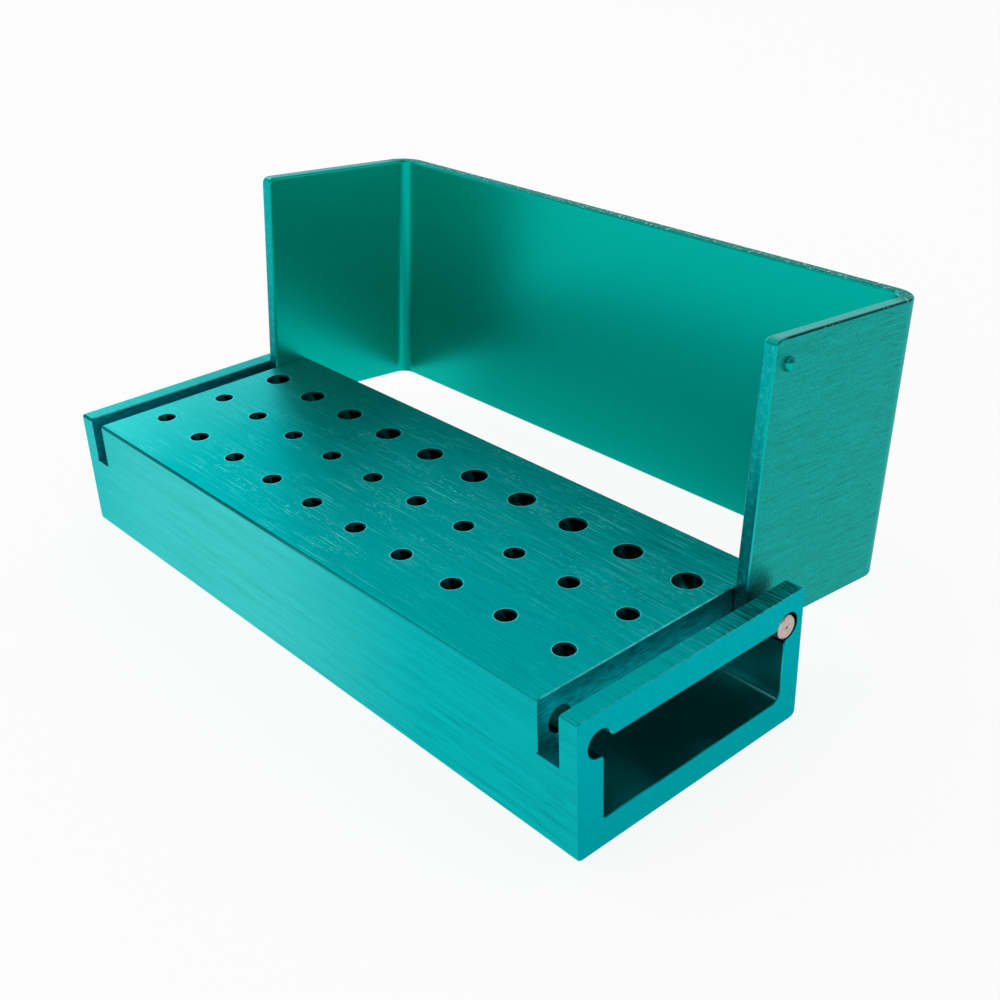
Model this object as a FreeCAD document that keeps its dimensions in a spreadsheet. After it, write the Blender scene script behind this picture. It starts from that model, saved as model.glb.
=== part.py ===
import FreeCAD, Part
import math
import os
import re
import Sketcher

V = FreeCAD.Vector

# Driving dimensions in millimetres (degrees for the lean), each written once
SIZES = [
    ("base_length", 84.0, "extruded base, end to end"),
    ("base_width", 29.3, "base, front to back"),
    ("base_height", 14.4, "base, underside to deck"),
    ("deck_edge_radius", 0.35, "rounding of the two upper long edges"),
    ("foot_edge_radius", 0.7, "rounding of the two lower long edges"),
    ("front_wall", 3.2, "tunnel wall towards the user"),
    ("back_wall", 2.6, "tunnel wall under the hinge"),
    ("floor_wall", 3.05, "tunnel floor"),
    ("deck_wall", 3.15, "deck plate that carries the burs"),
    ("front_corner", 0.25, "rounding of the tunnel's lower corner towards the user"),
    ("back_corner", 1.2, "rounding of the tunnel's lower corner under the hinge"),
    ("front_channel_out", 0.5, "front channel's centre outside the tunnel's front wall face"),
    ("back_channel_out", 0.35, "back channel's centre outside the tunnel's back wall face"),
    ("channel_down", 0.05, "channel centres below the deck's underside"),
    ("lip_radius", 0.5, "rounding where a channel opens into the tunnel"),
    ("end_wall", 2.1, "end wall outside each cheek slot"),
    ("hole_pitch", 7.5, "bur holes along a row"),
    ("row_pitch", 7.9, "row to row"),
    ("row_margin", 3.0, "least distance from a row's last hole to the slot"),
    ("small_hole", 1.9, "hole for a 1.6 mm shank"),
    ("large_hole", 2.7, "hole for a 2.35 mm shank"),
    ("hole_break", 0.14, "broken edge at a hole's mouth"),
    ("edge_break", 0.12, "broken edge of the slots, the pins and the sheet's outer side"),
    ("end_break", 0.08, "broken edge of the sawn end faces"),
    ("pin_radius", 1.2, "hinge pin"),
    ("pin_play", 0.15, "channel radius over the pin's"),
    ("pin_drop", 0.1, "pin below and ahead of the channel's centre, where the lips carry it"),
    ("pin_grip", 7.35, "pin inside the base beyond the slot"),
    ("mark_radius", 0.16, "lathe centre mark in the pin's end"),
    ("mark_depth", 0.12, "lathe centre mark in the pin's end"),
    ("sheet", 1.5, "lid sheet thickness"),
    ("inside_bend", 1.5, "inside radius of the lid's two bends"),
    ("sheet_round", 0.3, "rounding of the sheet's inner edges, on the side the shear came from"),
    ("cheek_play", 0.1, "cheek's inner face to the slot's inner wall"),
    ("cheek_room", 0.95, "cheek's outer face to the end wall"),
    ("pin_fit", 0.05, "eye radius over the pin's"),
    ("eye_wall", 0.75, "cheek's rounded nose beyond its eye"),
    ("nose_gap", 0.1, "nose to the slot floor"),
    ("nose_rise", 3.0, "height over which the nose runs into the free edge"),
    ("edge_beyond", 0.4, "free edge beyond the slot floor at the pin, to meet the front wall when closed"),
    ("head_room", 15.25, "deck to the closed lid's inner face"),
    ("lid_overhang", 0.05, "closed lid's edge beyond the front face"),
    ("cheek_corner", 0.8, "rounding of a cheek's free corner"),
    ("bump_beyond", 0.35, "snap bump beyond the front channel's centre, lid closed"),
    ("bump_ahead", 0.5, "snap bump ahead of the pin, lid upright"),
    ("bump_radius", 0.7, "snap bump"),
    ("bump_gap", 0.25, "snap bump to the end wall"),
    ("lean", 4.82, "lid leans back past upright on its stop, degrees"),
    ("rest_gap", 0.05, "lower edges above the slot floors at the back face, lid open"),
    ("closed_gap", 0.05, "free edges above the slot floors at the front wall, lid closed"),
]

# Sizes and places worked out from them, as distances from the middle plane, the underside or the pin
HALF_WIDTH = "base_width / 2"
CEILING = "base_height - deck_wall"
FRONT_FACE_IN = HALF_WIDTH + " - front_wall"
BACK_FACE_IN = HALF_WIDTH + " - back_wall"
FRONT_CHANNEL = FRONT_FACE_IN + " + front_channel_out"
BACK_CHANNEL = BACK_FACE_IN + " + back_channel_out"
CHANNEL_UP = CEILING + " - channel_down"
CHANNEL_RADIUS = "pin_radius + pin_play"
PIN_Y = BACK_CHANNEL + " - pin_drop"
PIN_Z = CHANNEL_UP + " - pin_drop"
PIN_LENGTH = "end_wall + cheek_room + sheet + cheek_play + pin_grip"
EYE_RADIUS = "pin_radius + pin_fit"
NOSE_RADIUS = EYE_RADIUS + " + eye_wall"
SLOT_FLOOR = PIN_Z + " - pin_radius - pin_fit - eye_wall - nose_gap"
SLOT_OUTER = "base_length / 2 - end_wall"
LID_OUTER = SLOT_OUTER + " - cheek_room"
LID_INNER = LID_OUTER + " - sheet"
SLOT_INNER = LID_INNER + " - cheek_play"
LID_AHEAD = NOSE_RADIUS + " + nose_gap + edge_beyond"
LID_BEHIND = "head_room + sheet + deck_wall + channel_down + pin_drop"
PANEL_IN = "head_room + deck_wall + channel_down + pin_drop"
LID_ABOVE = PIN_Y + " + base_width / 2 + lid_overhang"
BUMP_UP = PIN_Y + " + " + FRONT_CHANNEL + " + bump_beyond"
BUMP_HEIGHT = "cheek_room - bump_gap"
STOP_DROP = NOSE_RADIUS + " + nose_gap - rest_gap"
STOP_BACK = "back_wall - back_channel_out + pin_drop"
LID_BELOW = "(%s - (%s) * tan(lean)) * cos(lean)" % (STOP_DROP, STOP_BACK)
ROW_ROOM = "base_length - 2 * (end_wall + cheek_room + sheet + cheek_play + row_margin)"
HOLE_STEPS = "floor((%s) / hole_pitch)" % ROW_ROOM

doc = FreeCAD.newDocument("bur_holder")
sheet = doc.addObject("Spreadsheet::Sheet", "sizes")
for row, (alias, value, meaning) in enumerate(SIZES, 1):
    sheet.set("A%d" % row, alias)
    sheet.set("B%d" % row, str(value))
    sheet.setAlias("B%d" % row, alias)
    sheet.set("C%d" % row, meaning)
doc.recompute()


def size(alias):
    return float(sheet.get(alias))


def number(text):
    """The value of a sum of sizes, such as 'base_width / 2 - front_wall'."""
    total = 0.0
    for term in text.replace("- ", "+ -").split("+ "):
        alias, _, divisor = term.strip().partition(" / ")
        sign = -1 if alias.startswith("-") else 1
        total += sign * size(alias.lstrip("-")) / float(divisor or 1)
    return total


def bound(text):
    """The same text as an expression on the sheet's cells; a word before a bracket is a function."""
    return re.sub(r"\b([a-z_]+)\b(?!\()", r"sizes.\1", text)


def at(text, side=1):
    """A place or a size in a sketch: its value, on the side given, and the expression it is bound to."""
    return side * number(text), bound(text)


ON_AXIS = (0.0, None)

# The lower edge is cut so that it meets the slot floor's back mouth at the lean
lean = math.radians(size("lean"))
lid_below = (number(STOP_DROP) - number(STOP_BACK) * math.tan(lean)) * math.cos(lean)
slot_to_slot = 2 * number(SLOT_INNER)
hole_steps = math.floor((slot_to_slot - 2 * size("row_margin")) / size("hole_pitch"))


def new_body(label):
    body = doc.addObject("PartDesign::Body", label)
    body.Label = label
    return body


def origin_item(body, role):
    return [item for item in body.Origin.OriginFeatures if item.Role == role][0]


def new_sketch(body, name, role, **offset):
    """A sketch on one of the body's own origin planes, moved along its axes by bound offsets."""
    sketch = body.newObject("Sketcher::SketchObject", name)
    sketch.AttachmentSupport = (origin_item(body, role), [""])
    sketch.MapMode = "FlatFace"
    for axis, text in offset.items():
        sketch.setExpression("AttachmentOffset.Base.%s" % axis, bound(text))
    return sketch


def bind(sketch, kind, *where_and_size):
    """A driving dimension whose value comes from the sheet."""
    *where, guess, expression = where_and_size
    index = sketch.addConstraint(Sketcher.Constraint(kind, *where, guess))
    sketch.setExpression("Constraints[%d]" % index, expression)


def place_point(sketch, edge, end, x, y):
    """Ties a point to the sketch's axes by pairs from at(), by ON_AXIS, or not at all where it is None."""
    for kind, place, axis_line in (("DistanceX", x, -2), ("DistanceY", y, -1)):
        if place is None:
            continue
        guess, expression = place
        if expression is None:
            sketch.addConstraint(Sketcher.Constraint("PointOnObject", edge, end, axis_line))
        elif guess < 0:
            bind(sketch, kind, edge, end, -1, 1, -guess, expression)
        else:
            bind(sketch, kind, -1, 1, edge, end, guess, expression)


def rectangle(sketch, left, right, low, high):
    corners = [V(left[0], low[0]), V(right[0], low[0]), V(right[0], high[0]), V(left[0], high[0])]
    first = sketch.addGeometry(Part.LineSegment(corners[0], corners[1]))
    for k in (1, 2, 3):
        sketch.addGeometry(Part.LineSegment(corners[k], corners[(k + 1) % 4]))
    for k in range(4):
        sketch.addConstraint(Sketcher.Constraint("Coincident", first + k, 2, first + (k + 1) % 4, 1))
    for k in (0, 2):
        sketch.addConstraint(Sketcher.Constraint("Horizontal", first + k))
        sketch.addConstraint(Sketcher.Constraint("Vertical", first + k + 1))
    place_point(sketch, first, 1, left, low)
    place_point(sketch, first + 1, 2, right, high)


def circle(sketch, x, y, radius):
    edge = sketch.addGeometry(Part.Circle(V(x[0], y[0], 0), V(0, 0, 1), radius[0]))
    place_point(sketch, edge, 3, x, y)
    bind(sketch, "Radius", edge, *radius)


def pad(body, name, sketch, length, symmetric=False, reverse=False):
    feature = body.newObject("PartDesign::Pad", name)
    feature.Profile = sketch
    feature.SideType = "Symmetric" if symmetric else "One side"
    feature.Reversed = reverse
    feature.setExpression("Length", bound(length))
    return feature


def pocket_through(body, name, sketch, length):
    """Cuts both ways from the sketch for a bound total length that passes right through."""
    feature = body.newObject("PartDesign::Pocket", name)
    feature.Profile = sketch
    feature.SideType = "Symmetric"
    feature.setExpression("Length", bound(length))
    return feature


def edges_where(feature, test):
    """Names of the feature's edges whose every sampled point passes the test."""
    names = []
    for count, edge in enumerate(feature.Shape.Edges, 1):
        first, last = edge.ParameterRange
        points = [edge.valueAt(first + (last - first) * k / 4.0) for k in range(5)]
        if all(test(point) for point in points):
            names.append("Edge%d" % count)
    return names


def dress(body, kind, name, base, amount, test):
    """A fillet or a chamfer on those edges of the last feature that pass the test."""
    doc.recompute()
    feature = body.newObject("PartDesign::%s" % kind, name)
    feature.Base = (base, edges_where(base, test))
    feature.setExpression("Radius" if kind == "Fillet" else "Size", bound(amount))
    return feature


def mirror(body, name, originals):
    feature = body.newObject("PartDesign::Mirrored", name)
    feature.Originals = originals
    feature.MirrorPlane = (origin_item(body, "YZ_Plane"), [""])
    body.Tip = feature
    return feature


def near(a, b):
    return abs(a - b) < 0.001


def tunnel_walls(body):
    """The extruded section: a box with rounded long edges and a tunnel, nearer the back than the front."""
    half_width, height, ceiling = number(HALF_WIDTH), size("base_height"), number(CEILING)
    outline = new_sketch(body, "outline", "YZ_Plane")
    rectangle(outline, at(HALF_WIDTH, -1), at(HALF_WIDTH), ON_AXIS, at("base_height"))
    billet = pad(body, "billet", outline, "base_length", symmetric=True)
    upper = dress(body, "Fillet", "deck_edges", billet, "deck_edge_radius",
                  lambda p: near(p.z, height) and near(abs(p.y), half_width))
    dress(body, "Fillet", "foot_edges", upper, "foot_edge_radius",
          lambda p: near(p.z, 0) and near(abs(p.y), half_width))

    def on_front_wall(p):
        return near(p.y, -number(FRONT_FACE_IN))

    def on_back_wall(p):
        return near(p.y, number(BACK_FACE_IN))

    def on_floor(p):
        return near(p.z, size("floor_wall"))

    inside = new_sketch(body, "tunnel_outline", "YZ_Plane")
    rectangle(inside, at(FRONT_FACE_IN, -1), at(BACK_FACE_IN), at("floor_wall"), at(CEILING))
    tunnel = pocket_through(body, "tunnel", inside, "base_length * 2")
    front = dress(body, "Fillet", "tunnel_front_corner", tunnel, "front_corner",
                  lambda p: on_floor(p) and on_front_wall(p))
    dress(body, "Fillet", "tunnel_back_corner", front, "back_corner",
          lambda p: on_floor(p) and on_back_wall(p))

    rounds = new_sketch(body, "channel_outline", "YZ_Plane")
    centres = (at(FRONT_CHANNEL, -1), at(BACK_CHANNEL))
    for centre in centres:
        circle(rounds, centre, at(CHANNEL_UP), at(CHANNEL_RADIUS))
    channels = pocket_through(body, "channels", rounds, "base_length * 2")

    def on_lip(p):
        reach = min(math.hypot(p.y - centre[0], p.z - number(CHANNEL_UP)) for centre in centres)
        on_tunnel = near(p.z, ceiling) or on_front_wall(p) or on_back_wall(p)
        return on_tunnel and near(reach, number(CHANNEL_RADIUS))

    dress(body, "Fillet", "channel_lips", channels, "lip_radius", on_lip)


def cheek_slots(body):
    """One saw cut near each end, across the full width and down into the tunnel."""
    saw = new_sketch(body, "slot_outline", "XZ_Plane")
    rectangle(saw, at(SLOT_INNER), at(SLOT_OUTER), at(SLOT_FLOOR), at("base_height + base_height"))
    cut = pocket_through(body, "cheek_slot", saw, "base_width * 2")
    mirror(body, "cheek_slots", [cut])


def bur_holes(body):
    """Three rows of drilled holes; the deck's row nearest the hinge takes the thicker shanks."""
    column = new_sketch(body, "hole_column", "XY_Plane", z="base_height - deck_wall / 2")
    first_x = (-size("hole_pitch") * hole_steps / 2, bound("hole_pitch * %s / 2" % HOLE_STEPS))
    rows = ((at("row_pitch", -1), "small_hole"), (ON_AXIS, "small_hole"), (at("row_pitch"), "large_hole"))
    for y, diameter in rows:
        circle(column, first_x, y, at(diameter + " / 2"))
    drilled = pocket_through(body, "first_holes", column, "deck_wall * 2")
    holes = body.newObject("PartDesign::LinearPattern", "bur_holes")
    holes.Originals = [drilled]
    holes.Direction = (column, ["H_Axis"])
    holes.setExpression("Length", bound("hole_pitch * %s" % HOLE_STEPS))
    holes.setExpression("Occurrences", bound("%s + 1" % HOLE_STEPS))
    body.Tip = holes
    return holes


def base_block():
    """Box extrusion with a through tunnel, two round channels, two sawn cheek slots and the bur holes."""
    body = new_body("base_block")
    tunnel_walls(body)
    cheek_slots(body)
    holes = bur_holes(body)

    height, half_length = size("base_height"), size("base_length") / 2
    doc.recompute()
    rims = [name for name in edges_where(holes, lambda p: near(p.z, height))
            if isinstance(holes.Shape.getElement(name).Curve, Part.Circle)]
    mouths = body.newObject("PartDesign::Chamfer", "hole_mouths")
    mouths.Base = (holes, rims)
    mouths.setExpression("Size", "sizes.hole_break")

    saw_faces = (number(SLOT_INNER), number(SLOT_OUTER))
    on_deck = dress(body, "Chamfer", "slot_breaks", mouths, "edge_break",
                    lambda p: near(p.z, height) and any(near(abs(p.x), x) for x in saw_faces))
    dress(body, "Chamfer", "end_breaks", on_deck, "end_break", lambda p: near(abs(p.x), half_length))
    return body


def hinge_pin(side, label):
    """Short turned pin in the back channel, its end level with the base's end."""
    body = new_body(label)
    radius, length = size("pin_radius"), number(PIN_LENGTH)
    section = new_sketch(body, label + "_round", "YZ_Plane")
    circle(section, ON_AXIS, ON_AXIS, at("pin_radius"))
    rod = pad(body, label + "_rod", section, PIN_LENGTH, reverse=side > 0)
    dress(body, "Chamfer", label + "_breaks", rod, "edge_break",
          lambda p: near(math.hypot(p.y, p.z), radius) and (near(p.x, 0) or near(abs(p.x), length)))
    mark_round = new_sketch(body, label + "_mark_round", "YZ_Plane")
    circle(mark_round, ON_AXIS, ON_AXIS, at("mark_radius"))
    mark = body.newObject("PartDesign::Pocket", label + "_mark")
    mark.Profile = mark_round
    mark.Reversed = side < 0
    mark.setExpression("Length", "sizes.mark_depth")
    body.setExpression("Placement.Base.x", bound("base_length / 2" if side > 0 else "-base_length / 2"))
    body.setExpression("Placement.Base.y", bound(PIN_Y))
    body.setExpression("Placement.Base.z", bound(PIN_Z))
    return body


def tangent_point(y, z, radius):
    """Where a line from the point y, z above and ahead of the pin touches the nose's circle."""
    along = math.atan2(z, y)
    turn = math.acos(radius / math.hypot(y, z))
    return radius * math.cos(along + turn), radius * math.sin(along + turn)


def cheek_cut(sketch):
    """What is cut from the cheeks' lower front corner: a nose about the pin that clears the slot's floor."""
    ahead, rise, radius = number(LID_AHEAD), size("nose_rise"), number(NOSE_RADIUS)
    touch_y, touch_z = tangent_point(-ahead, rise, radius)
    heel_y = -math.sqrt(radius ** 2 - lid_below ** 2)
    points = [V(heel_y, -lid_below, 0), V(-ahead, -lid_below, 0), V(-ahead, rise, 0), V(touch_y, touch_z, 0)]
    for a, b in zip(points, points[1:]):
        sketch.addGeometry(Part.LineSegment(a, b))
    start, stop = math.atan2(touch_z, touch_y), math.atan2(-lid_below, heel_y) + 2 * math.pi
    nose = sketch.addGeometry(Part.ArcOfCircle(Part.Circle(V(0, 0, 0), V(0, 0, 1), radius), start, stop))
    join = Sketcher.Constraint
    sketch.addConstraint(join("Coincident", 0, 2, 1, 1))
    sketch.addConstraint(join("Coincident", 1, 2, 2, 1))
    sketch.addConstraint(join("Horizontal", 0))
    sketch.addConstraint(join("Vertical", 1))
    sketch.addConstraint(join("Coincident", nose, 3, -1, 1))
    sketch.addConstraint(join("Coincident", nose, 2, 0, 1))
    sketch.addConstraint(join("Tangent", 2, 2, nose, 1))
    bind(sketch, "Radius", nose, *at(NOSE_RADIUS))
    place_point(sketch, 1, 1, at(LID_AHEAD, -1), (-lid_below, bound(LID_BELOW)))
    place_point(sketch, 1, 2, None, at("nose_rise"))


def dome(sketch, foot, radius, rise):
    """Quarter outline of a dome about the sketch's horizontal axis, from its foot outwards."""
    foot_x, r, h = foot[0], radius[0], rise[0]
    bulge = (r * r + h * h) / (2 * h)
    centre = foot_x + h - bulge
    axis = sketch.addGeometry(Part.LineSegment(V(foot_x, 0, 0), V(foot_x + h, 0, 0)))
    cap = sketch.addGeometry(Part.ArcOfCircle(Part.Circle(V(centre, 0, 0), V(0, 0, 1), bulge),
                                              0.0, math.atan2(r, foot_x - centre)))
    base = sketch.addGeometry(Part.LineSegment(V(foot_x, r, 0), V(foot_x, 0, 0)))
    join = Sketcher.Constraint
    sketch.addConstraint(join("Coincident", axis, 2, cap, 1))
    sketch.addConstraint(join("Coincident", cap, 2, base, 1))
    sketch.addConstraint(join("Coincident", base, 2, axis, 1))
    sketch.addConstraint(join("Vertical", base))
    sketch.addConstraint(join("PointOnObject", axis, 1, -1))
    sketch.addConstraint(join("PointOnObject", axis, 2, -1))
    sketch.addConstraint(join("PointOnObject", cap, 3, -1))
    bind(sketch, "DistanceX", -1, 1, axis, 1, *foot)
    bind(sketch, "DistanceX", axis, 1, axis, 2, *rise)
    bind(sketch, "DistanceY", base, 2, base, 1, *radius)


def bent_sheet(body):
    """The U of sheet: a blank, hollowed and rounded inside and outside its two bends."""
    outer, inner = number(LID_OUTER), number(LID_INNER)
    plan = new_sketch(body, "lid_plan", "XY_Plane", z="-1 * " + LID_BELOW)
    rectangle(plan, at(LID_OUTER, -1), at(LID_OUTER), at(LID_AHEAD, -1), at(LID_BEHIND))
    blank = pad(body, "blank", plan, LID_BELOW + " + " + LID_ABOVE)
    dress(body, "Fillet", "outer_bends", blank, "inside_bend + sheet",
          lambda p: near(abs(p.x), outer) and near(p.y, number(LID_BEHIND)))
    room = new_sketch(body, "lid_room", "XY_Plane")
    ahead = number(LID_AHEAD)
    mouth = (-ahead * 2, "2 * (%s)" % bound(LID_AHEAD))
    rectangle(room, at(LID_INNER, -1), at(LID_INNER), mouth, at(PANEL_IN))
    hollow = pocket_through(body, "hollow", room, "4 * (%s)" % LID_ABOVE)
    dress(body, "Fillet", "inner_bends", hollow, "inside_bend",
          lambda p: near(abs(p.x), inner) and near(p.y, number(PANEL_IN)))


def lid():
    """One sheet bent to a U: back panel and two cheeks, modelled upright about the pin, then leaned back."""
    body = new_body("lid")
    bent_sheet(body)
    side = new_sketch(body, "nose_cut", "YZ_Plane")
    cheek_cut(side)
    pocket_through(body, "noses", side, "base_length * 2")
    eye = new_sketch(body, "eye_round", "YZ_Plane")
    circle(eye, ON_AXIS, ON_AXIS, at(EYE_RADIUS))
    eyes = pocket_through(body, "eyes", eye, "base_length * 2")

    inner = number(LID_INNER)
    ahead, above, corner = number(LID_AHEAD), number(LID_ABOVE), size("cheek_corner")
    corners = dress(body, "Fillet", "cheek_corners", eyes, "cheek_corner",
                    lambda p: near(p.y, -ahead) and near(p.z, above))

    def on_end(p):
        at_corner = p.y < corner - ahead and p.z > above - corner
        return near(p.z, above) or near(p.y, -ahead) or at_corner

    def inside(p):
        return abs(p.x) < inner + 0.001 and p.y < number(PANEL_IN) + 0.001

    broken = dress(body, "Chamfer", "outer_breaks", corners, "edge_break",
                   lambda p: near(p.z, -lid_below) or on_end(p) and not inside(p))
    dress(body, "Fillet", "inner_rims", broken, "sheet_round", lambda p: on_end(p) and inside(p))

    bump_sketch = new_sketch(body, "bump_outline", "XY_Plane", z=BUMP_UP, y="-bump_ahead")
    dome(bump_sketch, at(LID_OUTER), at("bump_radius"), at(BUMP_HEIGHT))
    bump = body.newObject("PartDesign::Revolution", "bump")
    bump.Profile = bump_sketch
    bump.ReferenceAxis = (bump_sketch, ["H_Axis"])
    bump.Angle = 360
    mirror(body, "bumps", [bump])

    body.setExpression("Placement.Base.y", bound(PIN_Y))
    body.setExpression("Placement.Base.z", bound(PIN_Z))
    body.Placement.Rotation = FreeCAD.Rotation(V(-1, 0, 0), size("lean"))
    body.setExpression("Placement.Rotation.Angle", "sizes.lean")
    return body


bodies = [base_block(), lid(), hinge_pin(1, "hinge_pin_right"), hinge_pin(-1, "hinge_pin_left")]
doc.recompute()

for item in doc.Objects:
    if "Invalid" in item.State or "Error" in item.State:
        raise RuntimeError("%s did not build: %s" % (item.Name, item.State))
for body in bodies:
    if body.Shape.isNull() or not body.Shape.isValid() or len(body.Shape.Solids) != 1:
        raise RuntimeError("%s is not one sound solid" % body.Label)

# The lid closes until its cheeks' free edges lie on the slot floors at the front wall
closed_tilt = math.atan2(size("edge_beyond") + size("closed_gap"), number(PIN_Y) + number(FRONT_FACE_IN))
print("pin axis y %.3f z %.3f" % (number(PIN_Y), number(PIN_Z)))
print("lid travel %.2f degrees" % (90 + size("lean") - math.degrees(closed_tilt)))

os.makedirs("parts", exist_ok=True)
for body in bodies:
    body.Shape.exportStep("parts/%s.step" % body.Label)
    box = body.Shape.BoundBox
    print("%-16s volume %9.2f  x %.2f %.2f  y %.2f %.2f  z %.2f %.2f" % (
        body.Label, body.Shape.Volume, box.XMin, box.XMax, box.YMin, box.YMax, box.ZMin, box.ZMax))
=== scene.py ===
"""Dental bur holder of anodised aluminium: the finishes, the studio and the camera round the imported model."""

import math
from types import SimpleNamespace

import bpy
from mathutils import Matrix, Vector


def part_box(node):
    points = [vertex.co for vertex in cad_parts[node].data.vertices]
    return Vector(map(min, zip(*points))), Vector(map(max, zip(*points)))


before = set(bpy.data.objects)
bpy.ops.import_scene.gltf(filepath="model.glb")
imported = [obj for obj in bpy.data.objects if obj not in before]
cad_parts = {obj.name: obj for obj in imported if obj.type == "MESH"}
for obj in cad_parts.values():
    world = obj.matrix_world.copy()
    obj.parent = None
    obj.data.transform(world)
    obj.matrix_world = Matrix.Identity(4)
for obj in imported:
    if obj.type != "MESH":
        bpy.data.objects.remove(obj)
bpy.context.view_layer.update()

MM = 0.001

# ---------------------------------------------------------------- sizes, in millimetres

# What the frame's boxes give.
block_low, block_high = [corner / MM for corner in map(Vector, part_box("base_block"))]
lid_low, lid_high = [corner / MM for corner in map(Vector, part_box("lid"))]
pin_low, pin_high = [corner / MM for corner in map(Vector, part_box("hinge_pin_right"))]
BLOCK_END = block_high.x
DECK = block_high.z
FRONT = block_low.y
BACK = block_high.y
PIN_Y = (pin_low.y + pin_high.y) / 2
PIN_Z = (pin_low.z + pin_high.z) / 2
PIN_RADIUS = (pin_high.y - pin_low.y) / 2
CHEEK_MIDDLE = (lid_low.y + lid_high.y) / 2

# The block's slots, and the end walls outside them.
END_WALL = 2.1
SLOT_OUTER = BLOCK_END - END_WALL
PIN_TO_SLOT_FLOOR = 0.9
SLOT_FLOOR = PIN_Z - PIN_RADIUS - PIN_TO_SLOT_FLOOR
SAME_HEIGHT = 0.03

# Its section: the deck's wall, the two channels, and where the inside begins, past the skin and the broken edges.
DECK_WALL = 3.15
CHANNEL_OUT = 11.0
CHANNEL_FOOT = 9.4
UNDER_SKIN = 0.5
PAST_BROKEN_EDGE = 0.16

# Its holes: three rows, mouths with the broken edge, and the rubbed ring outside each mouth.
HOLE_PITCH = 7.5
ROW_PITCH = 7.9
HOLE_ROWS_OUT = 9.5
SMALL_MOUTH = 1.09
LARGE_MOUTH = 1.49
RING_OUT = 0.045
RING_HALF = 0.05

# The lid: its lean at rest, its cheeks' outer faces, which the pressed bumps stand out from, its rounded corners
# in front and its bends behind.
LEAN = math.radians(4.82)
BUMP_PROUD = 0.7
CHEEK_OUTER = lid_high.x - BUMP_PROUD
CORNER_BACK = CHEEK_MIDDLE - 9.6
BEND_FRONT = CHEEK_MIDDLE + 8

# The pin: the pitch of the rings that the facing tool left, drawn coarser than the real ones so that they show.
TURNED_RING = 0.45


def linear(hex_colour):
    """An sRGB hex colour as the linear red, green, blue and alpha that the nodes take."""
    parts = [int(hex_colour[i:i + 2], 16) / 255 for i in (1, 3, 5)]
    return (*(p / 12.92 if p <= 0.04045 else ((p + 0.055) / 1.055) ** 2.4 for p in parts), 1.0)


def add(tree, kind, inputs, **settings):
    """Adds a shader node; each input is a value, a socket, or a node, which gives its first live output."""
    made = tree.nodes.new("ShaderNode" + kind)
    for name, value in settings.items():
        setattr(made, name, value)
    for key, value in inputs.items():
        if isinstance(value, bpy.types.Node):
            value = next(out for out in value.outputs if out.enabled)
        if isinstance(value, bpy.types.NodeSocket):
            tree.links.new(value, made.inputs[key])
        else:
            made.inputs[key].default_value = value
    return made


def new_finish(name):
    """An empty node material, with the object's coordinates in millimetres and its normal, both also split."""
    finish = bpy.data.materials.new(name)
    finish.use_nodes = True
    tree = finish.node_tree
    tree.nodes.clear()
    coords = add(tree, "TexCoord", {})
    place = add(tree, "VectorMath", {0: coords.outputs["Object"], "Scale": 1 / MM}, operation="SCALE")
    spot = add(tree, "SeparateXYZ", {0: place})
    facing = add(tree, "SeparateXYZ", {0: coords.outputs["Normal"]})
    return finish, tree, place, spot.outputs, facing.outputs


# ---------------------------------------------------------------- anodised extruded block

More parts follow.
